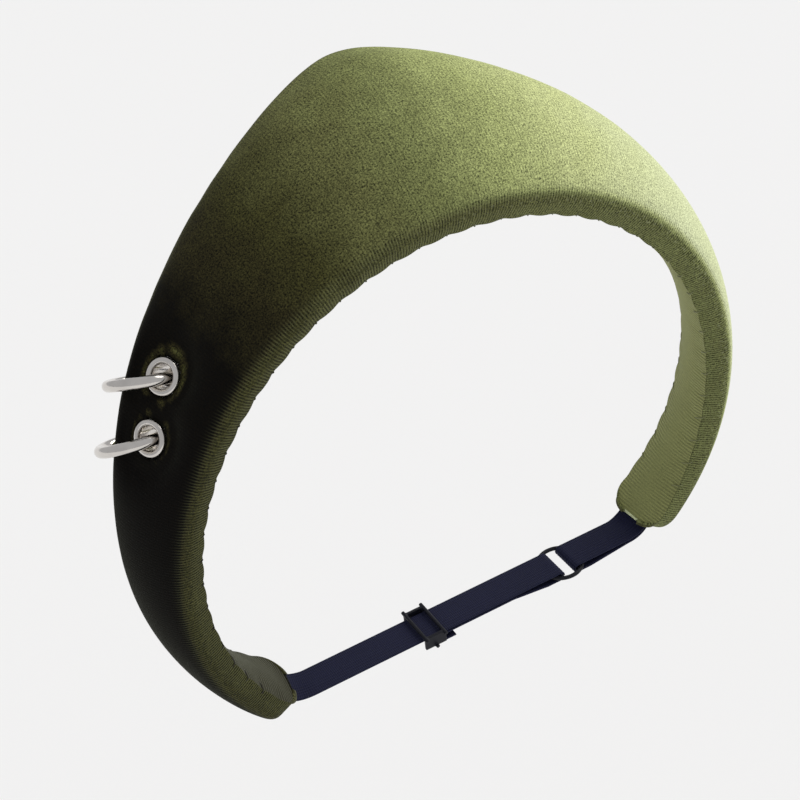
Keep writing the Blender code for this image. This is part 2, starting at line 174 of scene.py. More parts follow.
# %% Wires and looks
class Wire:
    """One socket. Arithmetic on it adds Math nodes to its material."""

    def __init__(self, look, socket):
        self.look = look
        self.socket = socket

    def math(self, operation, *values):
        inputs = dict(enumerate(values))
        return self.look.node("ShaderNodeMath", {"operation": operation}, inputs)

    def __add__(self, other):
        return self.math("ADD", self, other)

    def __sub__(self, other):
        return self.math("SUBTRACT", self, other)

    def __rsub__(self, other):
        return self.math("SUBTRACT", other, self)

    def __mul__(self, other):
        return self.math("MULTIPLY", self, other)

    __radd__ = __add__
    __rmul__ = __mul__

    def sine(self):
        return self.math("SINE", self)

    def limited(self, low, high):
        return self.look.node("ShaderNodeClamp", None, {0: self, 1: low, 2: high})

    def between(self, low, high):
        """0 below low, 1 above high and a smooth step between."""
        settings = {"interpolation_type": "SMOOTHSTEP"}
        return self.look.node("ShaderNodeMapRange", settings, {0: self, 1: low, 2: high})


class Look:
    """A material with one Principled shader."""

    def __init__(self, name, **sockets):
        self.material = bpy.data.materials.new(name)
        self.material.use_nodes = True
        self.tree = self.material.node_tree
        self.shader = self.tree.nodes["Principled BSDF"]
        self.paint(**sockets)

    def paint(self, **sockets):
        for socket, value in sockets.items():
            self.feed(self.shader.inputs[socket.replace("_", " ")], value)

    def feed(self, socket, value):
        if isinstance(value, Wire):
            self.tree.links.new(value.socket, socket)
        elif isinstance(value, tuple) and len(value) == 3 and socket.type == "RGBA":
            socket.default_value = (*value, 1)
        else:
            socket.default_value = value

    def node(self, kind, settings=None, inputs=None, output=0):
        made = self.tree.nodes.new(kind)
        for name, value in (settings or {}).items():
            if name == "stops":
                self.set_stops(made.color_ramp, value)
            else:
                setattr(made, name, value)
        for name, value in (inputs or {}).items():
            self.feed(made.inputs[name], value)
        return Wire(self, made.outputs[output])

    def set_stops(self, ramp, stops):
        while len(ramp.elements) < len(stops):
            ramp.elements.new(0.5)
        for element, (place, color) in zip(ramp.elements, stops):
            element.position = place
            element.color = (*color, 1)

    def stored(self, name):
        """The three parts of a vector kept on the mesh under that name."""
        whole = self.node("ShaderNodeAttribute", {"attribute_name": name}, output="Vector")
        return [self.node("ShaderNodeSeparateXYZ", None, {0: whole}, axis) for axis in range(3)]

    def position(self, scale=(1, 1, 1)):
        whole = self.node("ShaderNodeTexCoord", output="Object")
        return self.node("ShaderNodeMapping", None, {"Vector": whole, "Scale": scale})

    def point(self, x, y, z=0.0):
        return self.node("ShaderNodeCombineXYZ", None, {0: x, 1: y, 2: z})

    def noise(self, place, size, detail=2.0, roughness=0.5):
        inputs = {"Vector": place, "Scale": 1 / size, "Detail": detail, "Roughness": roughness}
        return self.node("ShaderNodeTexNoise", None, inputs)

    def ramp(self, amount, stops):
        return self.node("ShaderNodeValToRGB", {"stops": stops}, {0: amount})

    def mix(self, share, one, two, blend="MIX"):
        settings = {"data_type": "RGBA", "blend_type": blend}
        return self.node("ShaderNodeMix", settings, {0: share, 6: one, 7: two}, 2)

    def finished(self, color, rough, height, depth, strength):
        """The material, once its colour, its roughness and a bump of that height are in."""
        inputs = {"Height": height, "Distance": depth, "Strength": strength}
        relief = self.node("ShaderNodeBump", None, inputs)
        self.paint(Base_Color=color, Roughness=rough, Normal=relief)
        return self.material


TURN = 2 * pi

# %% [markdown]
# ## Velvet
#
# Velvet is a knit ground with a short pile. Three things tell the eye it is velvet: a fine
# speckle where tufts point different ways, faint rows of the knit that open up where the
# cloth bends round an edge, and a sheen at grazing angles. Where the pile is stroked away from
# us it looks almost black, and where it is stroked towards us it looks pale. Here that light and
# shade is painted into the base colour: the mesh carries a number called the nap, and the colour
# is ramped from it, near black on the wearer's right and pale on the left.

# %% Velvet look
ROW_PITCH = 0.00072
TUFT = 0.00038
CLOUD = 0.0085
FLECK_LENGTH = 0.00062
FLECK_WIDTH = 0.0010
DARK_CONTRAST = 6.4
CONTRAST_FALL = 4.2
# Velvet colours ramped by the nap: painted light and shade, near black on the wearer's right and
# pale on the left.
NAP_PAINTED_LIGHT_STOPS = [
    (0.00, (0.0016, 0.0009, 0.0005)),
    (0.17, (0.0026, 0.0018, 0.0007)),
    (0.25, (0.0260, 0.0225, 0.0075)),
    (0.32, (0.0470, 0.0455, 0.0130)),
    (0.41, (0.1180, 0.1220, 0.0430)),
    (0.50, (0.1750, 0.1950, 0.0700)),
    (0.59, (0.3350, 0.3750, 0.1450)),
    (0.70, (0.5000, 0.5450, 0.2500)),
    (0.90, (0.6200, 0.6700, 0.4000)),
]
OPEN_ROW_STOPS = [
    (0.0, (0.045, 0.043, 0.020)),
    (0.5, (0.22, 0.24, 0.11)),
    (1.0, (0.50, 0.55, 0.30)),
]
DARK_FLECK_STOPS = [(0.0, (0.004, 0.004, 0.002)), (1.0, (0.075, 0.088, 0.035))]
# Colour of the painted glints where pile tips catch the light at the corner.
PAINTED_GLINT_FLECK = (0.60, 0.63, 0.42)


def velvet_look():
    look = Look(
        "velvet_pile",
        Specular_IOR_Level=0.12,
        Sheen_Weight=0.06,
        Sheen_Roughness=0.38,
        Sheen_Tint=(0.70, 0.78, 0.42),
    )
    along, across, nap_painted_light = look.stored("cloth")
    fold, corner, crush = look.stored("marks")
    flat = look.point(along, across)
    wander = look.noise(flat, 0.004, 1.0) - 0.5
    rows = ((along + wander * 0.0006) * (TURN / ROW_PITCH)).sine()
    tufts = look.noise(look.position(), TUFT, 2.0, 0.65) - 0.5
    clouds = look.noise(look.position(), CLOUD, 3.0) - 0.5
    # Painted light and shade: the colour is ramped from the nap, with random clouds of tone and
    # the crushed pile round the eyelets.
    shade = nap_painted_light + clouds * 0.10 + crush * 0.22
    color = look.ramp(shade, NAP_PAINTED_LIGHT_STOPS)
    row_share = fold * 0.30 + 0.09
    contrast = DARK_CONTRAST - nap_painted_light * CONTRAST_FALL
    speckle = (1.0 + tufts * contrast + rows * row_share).limited(0.12, 2.2)
    color = look.mix(1.0, color, look.point(speckle, speckle, speckle), "MULTIPLY")
    # The open rows and the dark flecks take their colours from ramps on the nap too, so they
    # carry the same painted light and shade.
    open_rows = fold * rows.between(-0.2, 0.9) * (1 - corner)
    color = look.mix(open_rows * 0.45, color, look.ramp(nap_painted_light, OPEN_ROW_STOPS))
    # Flecks at the turned corner. The pale ones are painted glints of pile tips, kept to the lit
    # side by the nap. The dark ones darken the colour towards a ramp on the nap.
    stretched = look.point(along * (1 / FLECK_LENGTH), across * (1 / FLECK_WIDTH))
    flecks = look.noise(stretched, 1.0, 1.5, 0.6)
    pale = flecks.between(0.56, 0.66) * corner * nap_painted_light.between(0.25, 0.8)
    dark = (1 - flecks).between(0.54, 0.64) * corner
    color = look.mix(dark * 0.75, color, look.ramp(nap_painted_light, DARK_FLECK_STOPS))
    color = look.mix(pale * 0.85, color, PAINTED_GLINT_FLECK)
    height = tufts * 0.6 + rows * (fold * 0.5 + 0.08) + (pale - dark) * 0.8
    return look.finished(color, 0.86 + tufts * 0.2, height, 0.00022, 0.8)


velvet = velvet_look()
print("velvet nodes", len(velvet.node_tree.nodes))

# %% [markdown]
# ## Lining
#
# The face against the head is the same green in a smoother cloth, with rows that run across
# the band and show most near its edges. Its colour is ramped from painted light and shade like
# the velvet's nap, so both faces of one side are light or dark together.

# %% Lining look
LINING_ROW_PITCH = 0.00095
LINING_GRAIN = 0.00040
LINING_CLOUD = 0.011
# Lining colours ramped by painted light and shade, dark on the wearer's right and pale on the
# left.
LINING_PAINTED_LIGHT_STOPS = [
    (0.00, (0.028, 0.026, 0.015)),
    (0.30, (0.055, 0.054, 0.024)),
    (0.60, (0.120, 0.124, 0.046)),
    (1.00, (0.250, 0.262, 0.098)),
]


def lining_look():
    look = Look(
        "lining_knit",
        Specular_IOR_Level=0.2,
        Sheen_Weight=0.18,
        Sheen_Roughness=0.45,
        Sheen_Tint=(0.75, 0.80, 0.50),
    )
    along, across, nap_painted_light = look.stored("cloth")
    fold, _, _ = look.stored("marks")
    wander = look.noise(look.point(along, across), 0.005, 1.0) - 0.5
    rows = ((along + wander * 0.0010) * (TURN / LINING_ROW_PITCH)).sine()
    grain = look.noise(look.position(), LINING_GRAIN, 2.0, 0.6) - 0.5
    clouds = look.noise(look.position(), LINING_CLOUD, 2.0) - 0.5
    # Painted light and shade ramped into the lining's colour, with random clouds of tone.
    color = look.ramp(nap_painted_light + clouds * 0.22, LINING_PAINTED_LIGHT_STOPS)
    speckle = 1.0 + grain * 0.9 + rows * (fold * 0.22 + 0.04)
    color = look.mix(1.0, color, look.point(speckle, speckle, speckle), "MULTIPLY")
    height = grain * 0.4 + rows * (fold * 0.6 + 0.1)
    return look.finished(color, 0.8 + grain * 0.2, height, 0.00018, 0.7)


lining = lining_look()

# %% [markdown]
# ## The band's own coordinates
#
# The band bends in three ways at once, so its points are worked out in coordinates of its
# own: along the front edge from one tip to the other, back from that edge, and out from the
# flat line between its two seams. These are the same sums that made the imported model, which
# is how cloth made here lands where the solids are.

# %% Sizes and places on the band
HALF_WIDTH = 0.0765
HALF_HEIGHT = 0.0755
TIP_ANGLE = radians(131.0)
EDGE_LENGTH = TIP_ANGLE * (HALF_WIDTH + HALF_HEIGHT) / 2
PEAK_WIDTH = 0.0590
TIP_WIDTH = 0.0188
PEAK_FALL = 2.4
PEAK_SOFTNESS = 0.039
TIP_ROUND = 0.0065
CROWN_FLARE = radians(24.0)
TIP_TURN = radians(34.0)
TURN_POWER = 5
EDGE_THICKNESS = 0.0072
OUTER_PUFF = 0.0080
INNER_PUFF = 0.0046
CORNER_ROUND = 0.0024
EYELETS = {"upper": -0.385, "lower": -0.457}
EYELET_INSET = 0.0122
PINCH_FLAT = 0.0060
PINCH_FADE = 0.0080


def width_at(along):
    soft = np.minimum(1, np.hypot(along, PEAK_SOFTNESS))
    share = ((1 - soft) / (1 - PEAK_SOFTNESS)) ** PEAK_FALL
    return TIP_WIDTH + (PEAK_WIDTH - TIP_WIDTH) * share


def to_tip(along):
    return (1 - np.abs(along)) * EDGE_LENGTH


def inset_at(along):
    """How far the outline lies from the straight edge, where the tips are rounded."""
    near = np.clip(TIP_ROUND - to_tip(along), 0, TIP_ROUND)
    return TIP_ROUND - np.sqrt(TIP_ROUND**2 - near**2)


def unit(vectors):
    return vectors / np.linalg.norm(vectors, axis=-1, keepdims=True)


def axes_at(along):
    """The front edge's point and the band's axes there: forward, back and out."""
    angle = np.asarray(along, float)[..., None] * TIP_ANGLE
    zero = np.zeros_like(angle)
    sine, cosine = np.sin(angle), np.cos(angle)
    front = np.concatenate([HALF_WIDTH * sine, zero, HALF_HEIGHT * cosine], -1)
    forward = unit(np.concatenate([HALF_WIDTH * cosine, zero, -HALF_HEIGHT * sine], -1))
    radial = unit(np.concatenate([HALF_HEIGHT * sine, zero, HALF_WIDTH * cosine], -1))
    flare = CROWN_FLARE - TIP_TURN * np.abs(np.asarray(along, float)[..., None]) ** TURN_POWER
    rear = np.array([0.0, 1.0, 0.0])
    back = rear * np.cos(flare) + radial * np.sin(flare)
    out = radial * np.cos(flare) - rear * np.sin(flare)
    return front, forward, back, out


def place(along, back, out):
    front, _, back_axis, out_axis = axes_at(along)
    rearward = back_axis * np.asarray(back)[..., None]
    return front + rearward + out_axis * np.asarray(out)[..., None]


def from_eyelets(along, back):
    """Distance over the outer face to the nearest eyelet's middle."""
    nearest = np.full(np.broadcast(along, back).shape, 1.0)
    for centre in EYELETS.values():
        sideways = (along - centre) * EDGE_LENGTH
        nearest = np.minimum(nearest, np.hypot(sideways, back - width_at(centre) + EYELET_INSET))
    return nearest


def pinch(along, back):
    beyond = np.maximum(0, from_eyelets(along, back) - PINCH_FLAT)
    return np.exp(-3 * (beyond / PINCH_FADE) ** 2)


def puff(along, back):
    width = width_at(along)
    share = np.clip(back / width, 0, 1)
    return 4 * share * (1 - share) * width / PEAK_WIDTH * (1 - pinch(along, back))


def rounded(distance):
    near = np.clip(CORNER_ROUND - distance, 0, CORNER_ROUND)
    return CORNER_ROUND - np.sqrt(CORNER_ROUND**2 - near**2)


def outer_face(along, back):
    inset = inset_at(along)
    to_side = np.minimum(back - inset, width_at(along) - inset - back)
    drop = np.minimum(CORNER_ROUND, rounded(to_side) + rounded(to_tip(along)))
    return EDGE_THICKNESS + OUTER_PUFF * puff(along, back) - drop


crown = place(0.0, 0.0, 0.0)
print("front edge at the crown", np.round(crown, 4), "widest", round(float(width_at(0.0)), 4))

# %% [markdown]
# ## The pad as one closed bag
#
# Velvet and lining are sewn into one bag round foam, so they are made as one closed mesh of
# lines round the section: up the front wall, over the outer face, down the back wall and home
# across the inner face. One bag can be blown up by a cloth simulation, and cut in two along
# its seams afterwards. Each point keeps what the materials need: where it is on the cloth,
# how near a fold, and its nap, which is the painted light and shade of its colour.

# %% Marks and nap of the cloth
STITCH = 0.0075
FOLD_START = 0.0006
FOLD_FADE = 0.0015
INNER_FADE = 0.0060
CORNER_MARK = 0.0013
CRUSH_RADIUS = 0.0054
CRUSH_WIDTH = 0.0007
# Painted shade on the walls: their nap number, and how much it rises towards the wearer's left.
WALL_PAINTED_SHADE = 0.30
WALL_PAINTED_SHADE_RISE = 0.17
FACE_FROM = 0.0002
FACE_TO = 0.0024
LINING_PAINTED_LIGHT_REACH = 0.62


def smooth_step(value, low, high):
    share = np.clip((value - low) / (high - low), 0, 1)
    return share * share * (3 - 2 * share)


def bell(value, width):
    """1 at 0, falling smoothly to nearly nothing at twice the width."""
    return np.exp(-((value / width) ** 2))


def nap_painted_light_at(along, back):
    """Painted light and shade: 0 where the pile is stroked away and looks black, 1 at its
    palest.
    """
    inset = inset_at(along)
    edge = np.minimum(back - inset, width_at(along) - inset - back)
    face = np.clip(along + 0.5, 0, 1)
    # The walls get their own lower number, painted shade where they turn away from the key
    # light.
    wall = WALL_PAINTED_SHADE + WALL_PAINTED_SHADE_RISE * smooth_step(along, -0.5, 0.5)
    return face + (wall - face) * (1 - smooth_step(edge, FACE_FROM, FACE_TO))


# Painted light and shade for the lining and its stitches: a smooth step from dark on the
# wearer's right to pale on the left.
def lining_painted_light(along):
    return smooth_step(along, -LINING_PAINTED_LIGHT_REACH, LINING_PAINTED_LIGHT_REACH)


def stitch_pull(along):
    """1 at each stitch and 0 between two of them."""
    return (0.5 + 0.5 * np.cos(TURN * along * EDGE_LENGTH / STITCH)) ** 3


def marks_at(along, back, out, is_lid, edge):
    """How near the front fold, the rounded corner and an eyelet's rim each point is."""
    lid_fold = bell(np.maximum(0, back - inset_at(along) - FOLD_START), FOLD_FADE)
    fold = np.where(is_lid, lid_fold, bell(edge, INNER_FADE))
    turn = np.hypot(edge - CORNER_ROUND * 0.3, out - EDGE_THICKNESS + CORNER_ROUND * 0.7)
    corner = np.where(is_lid, bell(turn, CORNER_MARK), 0)
    crush = np.where(is_lid, bell(from_eyelets(along, back) - CRUSH_RADIUS, CRUSH_WIDTH), 0)
    return np.stack([fold, corner, crush], -1)


# %% Lines round the section
LINES = 205
FACE_POINTS = 26
WALL_STEPS = 4
CORNER_STEPS = 5
TIP_LINES = (0.0004, 0.0012, 0.0022)
START_SHARE = 0.87
INNER_TIP_FADE = 0.006
TUCK = 0.00055
TUCK_FADE = 0.0030
TUCK_TIP_FADE = 0.01
TUCK_INWARD = 0.6
LIP_HEIGHT = 0.0004
LIP_RADIUS = 0.0062
LIP_WIDTH = 0.0011
SEAM_HOLD = 0.0007
PINCH_HOLD = 0.8
TIP_HOLD = 0.0080


def line_places():
    """Where each line lies along the band, and how far it rises off the seam."""
    near = 1 - np.array(TIP_LINES) / EDGE_LENGTH
    even = np.sort(np.concatenate([np.linspace(-1, 1, LINES), near, -near]))
    closing = np.arange(WALL_STEPS) / WALL_STEPS
    along = np.concatenate([[-1.0] * WALL_STEPS, even, [1.0] * WALL_STEPS])[:, None]
    rise = np.concatenate([closing, np.ones(len(even)), closing[::-1]])[:, None]
    return along, rise


def section_points(along, rise, inset, last):
    """Back and out of each point round the section, velvet first, and the velvet's count."""
    corner = CORNER_ROUND * (1 - np.cos(np.linspace(0, pi / 2, CORNER_STEPS + 1)))
    inside = np.linspace(0, 1, FACE_POINTS + 2)[1:-1]
    span = last - inset - 2 * CORNER_ROUND
    face = inset + CORNER_ROUND + span * inside
    top = np.concatenate([inset + corner, face, last - corner[::-1]], 1)
    wall = np.ones((len(along), WALL_STEPS))
    lid_back = np.concatenate([inset * wall, top, last * wall], 1)
    steps = np.arange(WALL_STEPS) / WALL_STEPS
    wall_share = np.concatenate([steps, np.ones(top.shape[1]), steps[::-1]])
    lid_out = outer_face(along, lid_back) * wall_share * rise
    lid_out = lid_out - (1 - START_SHARE) * OUTER_PUFF * puff(along, lid_back) * rise
    inner_back = top[:, 1:-1][:, ::-1]
    tip_fade = 1 - bell(to_tip(along), INNER_TIP_FADE)
    inner_out = -INNER_PUFF * START_SHARE * puff(along, inner_back) * tip_fade
    back = np.concatenate([lid_back, inner_back], 1)
    return back, np.concatenate([lid_out, inner_out], 1), lid_back.shape[1]


def bag_lines():
    """Points, cloth places, marks and how firmly each is held, for every line."""
    along, rise = line_places()
    inset = inset_at(along)
    last = width_at(along) - inset
    back, out, lid_count = section_points(along, rise, inset, last)
    is_lid = np.arange(back.shape[1]) < lid_count
    edge = np.minimum(back - inset, last - back)
    from_seam = np.where(is_lid, np.abs(out) + edge, edge)
    tuck = TUCK * stitch_pull(along) * np.exp(-from_seam / TUCK_FADE)
    tuck = tuck * (1 - np.exp(-to_tip(along) / TUCK_TIP_FADE))
    side = np.where(back < (inset + last) / 2, 1.0, -1.0)
    points = place(along, back + side * tuck * TUCK_INWARD, out + tuck)

    across = np.zeros_like(back)
    gaps = np.linalg.norm(np.diff(points, axis=1), axis=2)
    across[:, 1:lid_count] = np.cumsum(gaps[:, : lid_count - 1], 1)
    home = np.linalg.norm(points - points[:, :1], axis=2)
    across[:, lid_count:] = -home[:, lid_count:]

    lip = LIP_HEIGHT * bell(from_eyelets(along, back) - LIP_RADIUS, LIP_WIDTH) * is_lid
    points = points + axes_at(along)[3] * lip[..., None]
    held = np.maximum(bell(from_seam, SEAM_HOLD), pinch(along, back) > PINCH_HOLD)
    held = np.maximum(held, 1 - smooth_step(to_tip(along), TIP_HOLD * 0.5, TIP_HOLD))
    # Painted light and shade of each point: the velvet's nap on the outer face and walls, the
    # lining's own on the inner face.
    nap_painted_light = np.where(is_lid, nap_painted_light_at(along, back), lining_painted_light(along))
    cloth = np.stack([np.broadcast_to(along * EDGE_LENGTH, back.shape), across, nap_painted_light], -1)
    return points, cloth, marks_at(along, back, out, is_lid, edge), held, lid_count


points, cloth, marks, held, lid_count = bag_lines()
print("lines", points.shape[0], "points each", points.shape[1])

# %% Sew the bag
VELVET_INDEX = 0
LINING_INDEX = 1
SAME_POINT = 0.000002


def opened(mesh):
    build = bmesh.new()
    build.from_mesh(mesh)
    return build


def closed_into(build, mesh):
    build.to_mesh(mesh)
    build.free()
    return mesh


def sew_bag(points, cloth, marks, held, lid_count):
    build = bmesh.new()
    layers = {}
    for name in ("cloth", "marks"):
        layers[name] = build.verts.layers.float_vector.new(name)
    hold = build.verts.layers.float.new("hold")
    rows = []
    for line in range(points.shape[0]):
        row = []
        for index in range(points.shape[1]):
            vert = build.verts.new(points[line, index])
            vert[layers["cloth"]] = cloth[line, index]
            vert[layers["marks"]] = marks[line, index]
            vert[hold] = held[line, index]
            row.append(vert)
        rows.append(row)
    for one, two in zip(rows, rows[1:]):
        for index, (a, b) in enumerate(zip(one, one[1:] + one[:1])):
            c, d = two[(index + 1) % len(two)], two[index]
            face = build.faces.new((a, b, c, d))
            face.material_index = VELVET_INDEX if index < lid_count - 1 else LINING_INDEX
            face.smooth = True
    bmesh.ops.remove_doubles(build, verts=build.verts, dist=SAME_POINT)
    bmesh.ops.dissolve_degenerate(build, edges=build.edges, dist=SAME_POINT)
    bmesh.ops.recalc_face_normals(build, faces=build.faces)
    return closed_into(build, bpy.data.meshes.new("bag"))


def add_object(name, mesh):
    made = bpy.data.objects.new(name, mesh)
    bpy.context.scene.collection.objects.link(made)
    return made


bag = add_object("bag", sew_bag(points, cloth, marks, held, lid_count))
print("bag", len(bag.data.vertices), "points,", len(bag.data.polygons), "faces")

# %% [markdown]
# ## Blowing up the bag
#
# Foam pushes the cloth out evenly while the seams and the eyelets hold it down. A short cloth
# simulation with air pressure does just that: the seams are pinned and the rest swells. The
# small tucks at the stitches are drawn into the bag before. Gravity stays off, the swell is
# capped, and the bag starts flatter than it ends. Pressure acts on the area round a point, so a
# mesh this fine needs far more of it, and softer cloth, than a coarse one. The print shows
# whether the cloth really moved: about 0.4 mm on average is right, and near 0 means it did not.

# %% Cloth simulation
PRESSURE = 150.0
FRAMES = 20
CLOTH_MASS = 0.02
CLOTH_STIFFNESS = 2.0
CLOTH_BENDING = 0.05
MOST_MOVE = 0.0016
MOVE_SMOOTHING = 2
FIRMLY_HELD = 0.95


def coordinates(mesh):
    values = np.zeros(len(mesh.vertices) * 3, np.float32)
    mesh.vertices.foreach_get("co", values)
    return values.reshape(-1, 3).astype(float)


def smoothed(mesh, values, times):
    """Values at the points, averaged with those of their neighbours."""
    ends = np.array([edge.vertices[:] for edge in mesh.edges])
    count = np.bincount(ends.ravel(), minlength=len(values))[:, None]
    for _ in range(times):
        total = np.zeros_like(values)
        np.add.at(total, ends[:, 0], values[ends[:, 1]])
        np.add.at(total, ends[:, 1], values[ends[:, 0]])
        values = 0.5 * values + 0.5 * total / count
    return values


def blow_up(bag):
    """Moves the bag's points outward and tells how far each one wanted to go."""
    hold = np.array([item.value for item in bag.data.attributes["hold"].data])
    group = bag.vertex_groups.new(name="held")
    for index, value in enumerate(hold):
        group.add([index], min(1.0, float(value)), "REPLACE")
    cloth = bag.modifiers.new("cloth", "CLOTH")
    settings = cloth.settings
    settings.quality = 5
    settings.use_pressure = True
    settings.uniform_pressure_force = PRESSURE
    settings.mass = CLOTH_MASS
    settings.tension_stiffness = CLOTH_STIFFNESS
    settings.compression_stiffness = CLOTH_STIFFNESS
    settings.shear_stiffness = CLOTH_STIFFNESS / 2
    settings.bending_stiffness = CLOTH_BENDING
    settings.vertex_group_mass = "held"
    settings.effector_weights.gravity = 0
    cloth.point_cache.frame_start = 1
    cloth.point_cache.frame_end = FRAMES
    start = coordinates(bag.data)
    for step in range(1, FRAMES + 1):
        bpy.context.scene.frame_set(step)
    shaped = bag.evaluated_get(bpy.context.evaluated_depsgraph_get())
    moved = coordinates(shaped.data) - start
    bag.modifiers.remove(cloth)
    bpy.context.scene.frame_set(1)
    length = np.linalg.norm(moved, axis=1, keepdims=True)
    moved *= MOST_MOVE / np.maximum(length, MOST_MOVE)
    moved = smoothed(bag.data, moved, MOVE_SMOOTHING)
    moved[hold > FIRMLY_HELD] = 0
    bag.data.vertices.foreach_set("co", (start + moved).astype(np.float32).ravel())
    bag.data.update()
    return length


swell = blow_up(bag) * 1000
print("cloth moved up to", round(float(swell.max()), 2), "mm before the cap")
print("and", round(float(swell.mean()), 2), "mm on average")

# %% [markdown]
# ## Cutting the bag into velvet and lining
#
# The bag comes apart along its seams. Each cloth is subdivided once for a smooth curve, gets
# a hole at each eyelet that the metal's rim covers, and is given the thickness of real cloth,
# inward, so that its outer face stays where the simulation left it.

# %% Velvet and lining pieces
CLOTH_THICKNESS = 0.0007
HOLE_RADIUS = 0.0041
HOLE_REACH = 0.02


def applied(piece):
    """The piece's mesh with its modifiers built in."""
    graph = bpy.context.evaluated_depsgraph_get()
    mesh = bpy.data.meshes.new_from_object(piece.evaluated_get(graph), depsgraph=graph)
    piece.modifiers.clear()
    piece.data = mesh
    return piece


def subdivided(piece, levels):
    smooth = piece.modifiers.new("smooth", "SUBSURF")
    smooth.levels = levels
    smooth.render_levels = levels
    return applied(piece)


def eyelet_frame(along):
    """Matrix with its origin on the outer face at an eyelet and Z out of the face."""
    _, _, back, out = (Vector(axis) for axis in axes_at(along))
    origin = Vector(place(along, width_at(along) - EYELET_INSET, EDGE_THICKNESS))
    turn = Matrix((back, out.cross(back), out)).transposed().to_4x4()
    return Matrix.Translation(origin) @ turn


def cut_piece(bag, index, name, look):
    build = opened(bag.data)
    others = [face for face in build.faces if face.material_index != index]
    bmesh.ops.delete(build, geom=others, context="FACES")
    piece = subdivided(add_object(name, closed_into(build, bpy.data.meshes.new(name))), 1)
    build = opened(piece.data)
    for along in EYELETS.values():
        to_local = eyelet_frame(along).inverted()
        gone = []
        for vert in build.verts:
            local = to_local @ vert.co
            if local.xy.length < HOLE_RADIUS and abs(local.z) < HOLE_REACH:
                gone.append(vert)
        bmesh.ops.delete(build, geom=gone, context="VERTS")
    for face in build.faces:
        face.material_index = 0
    closed_into(build, piece.data)
    piece.data.materials.clear()
    piece.data.materials.append(look)
    thick = piece.modifiers.new("thickness", "SOLIDIFY")
    thick.thickness = CLOTH_THICKNESS
    thick.offset = -1
    return applied(piece)


velvet_piece = cut_piece(bag, VELVET_INDEX, "velvet_pad", velvet)
lining_piece = cut_piece(bag, LINING_INDEX, "lining_pad", lining)
bpy.data.objects.remove(bag)
for piece, nodes, slot in (
    (velvet_piece, ("velvet_cover", "outer_foam"), "velvet"),
    (lining_piece, ("lining", "inner_foam"), "lining_cloth"),
):
    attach(piece, "band")
    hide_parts(*nodes)
for piece in (velvet_piece, lining_piece):
    print(piece.name, "has", len(piece.data.polygons), "faces")

# %% [markdown]
# ## Polished steel
#
# The eyelets and rings are plated and polished. Polished metal is nearly all reflection, so
# its colour stays plain and the detail goes into the roughness: a faint haze in patches and
# fine rubbing marks from wear.


# %% Steel look
def steel_look():
    look = Look("polished_steel", Metallic=1.0)
    haze = look.noise(look.position(), 0.0030, 3.0)
    rub = look.noise(look.position((900, 900, 5200)), 1.0, 2.0) - 0.5
    color = look.mix(haze, (0.56, 0.53, 0.50), (0.76, 0.73, 0.69))
    rough = 0.09 + haze * 0.10 + rub * 0.05
    return look.finished(color, rough, rub + haze, 0.00002, 0.35)


steel = steel_look()

# %% [markdown]
# ## Eyelets, washers and rings
#
# An eyelet is a turned shape: a rolled rim on the outside, a barrel through the band and a
# flare behind the washer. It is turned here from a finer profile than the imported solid's. A
# ring is a plain torus of round wire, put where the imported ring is: its middle is the mean of
# that ring's points and its axis is the direction in which they spread least.


# %% Turned metal
def mesh_of_grid(name, grid, closed_rows=True):
    """A mesh through rows of points, closed round each row and, if asked, from last to first."""
    rows, count = grid.shape[:2]
    faces = []
    for row in range(rows if closed_rows else rows - 1):
        here, there = row * count, (row + 1) % rows * count
        for index in range(count):
            after = (index + 1) % count
            faces.append((here + index, here + after, there + after, there + index))
    mesh = bpy.data.meshes.new(name)
    mesh.from_pydata(grid.reshape(-1, 3).tolist(), [], faces)
    build = opened(mesh)
    bmesh.ops.recalc_face_normals(build, faces=build.faces)
    closed_into(build, mesh)
    mesh.shade_smooth()
    return mesh


def turned(name, profile, where, look, steps=48):
    angles = np.arange(steps) * TURN / steps
    profile = np.array(profile)
    grid = np.zeros((steps, len(profile), 3))
    grid[..., 0] = np.cos(angles)[:, None] * profile[:, 0]
    grid[..., 1] = np.sin(angles)[:, None] * profile[:, 0]
    grid[..., 2] = profile[:, 1]
    mesh = mesh_of_grid(name, grid)
    mesh.transform(where)
    mesh.materials.append(look)
    return subdivided(add_object(name, mesh), 2)


GAP = 0.0003
BORE = 0.0030
WALL = 0.0004
RIM = 0.0047
RIM_HEIGHT = 0.0008
RIM_SQUARENESS = 0.8
BARREL_SHARES = (0.05, 0.35, 0.7, 0.96)
FLARE_START = 0.0005
FLARE = ((0, 0.0008), (0.0006, 0.0007), (0.0009, 0.0004), (0.0009, 0), (0, 0))
WASHER = 0.0005
WASHER_EDGE = 0.0050
WASHER_SOFTNESS = 0.00012


def eyelet_profile():
    under = -EDGE_THICKNESS - WASHER - 2 * GAP
    outside = BORE + WALL
    roll = np.linspace(0, pi, 9)
    middle, half = (RIM + BORE) / 2, (RIM - BORE) / 2
    rim = [(outside, GAP)]
    for angle in roll:
        height = RIM_HEIGHT * sin(angle) ** RIM_SQUARENESS
        rim.append((middle + half * cos(angle), GAP + height))
    barrel = [(BORE, share * under) for share in BARREL_SHARES]
    flare = [(BORE, under - FLARE_START)]
    flare += [(outside + wider, under - lower) for wider, lower in FLARE]
    outer = [(outside, share * under) for share in reversed(BARREL_SHARES)]
    return rim + barrel + flare + outer


